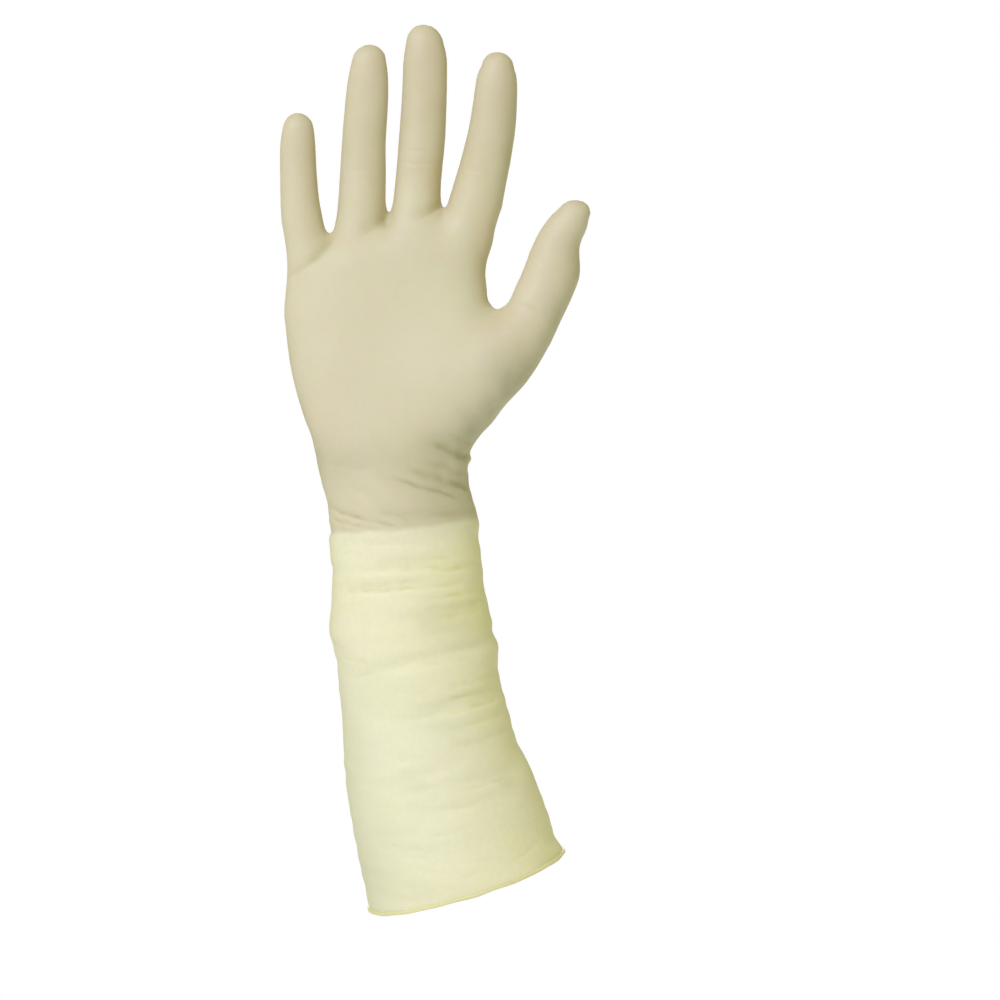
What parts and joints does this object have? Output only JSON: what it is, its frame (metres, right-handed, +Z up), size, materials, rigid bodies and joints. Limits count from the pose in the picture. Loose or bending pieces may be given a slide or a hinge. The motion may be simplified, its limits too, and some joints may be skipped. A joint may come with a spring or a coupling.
{
  "type": "cleanroom glove",
  "caption": "Long-cuff latex cleanroom glove for the right hand, held open in its worn shape, with seamless finger stalls and a rolled bead at the cuff.",
  "frame": {"origin": "the middle of the cuff's mouth, on the plane of the rolled bead", "axes": "+Z up along the fingers, -Y out of the palm, +X towards the thumb; the gauntlet leans about 8 degrees back from Z"},
  "size_m": [0.1361, 0.0869, 0.3919],
  "materials": {
    "hand_latex": "matte natural latex film, warm beige where it lies on the hand",
    "gauntlet_latex": "matte natural latex film, pale lemon yellow along the forearm",
    "bead_latex": "satin rolled latex, slightly deeper yellow than the film"
  },
  "bodies": {
    "root": {"little_finger_stall": "hand_latex", "ring_finger_stall": "hand_latex", "middle_finger_stall": "hand_latex", "index_finger_stall": "hand_latex", "thumb_stall": "hand_latex", "palm": "hand_latex", "gauntlet": "gauntlet_latex", "cuff_bead": "bead_latex"}
  },
  "joints": []
}
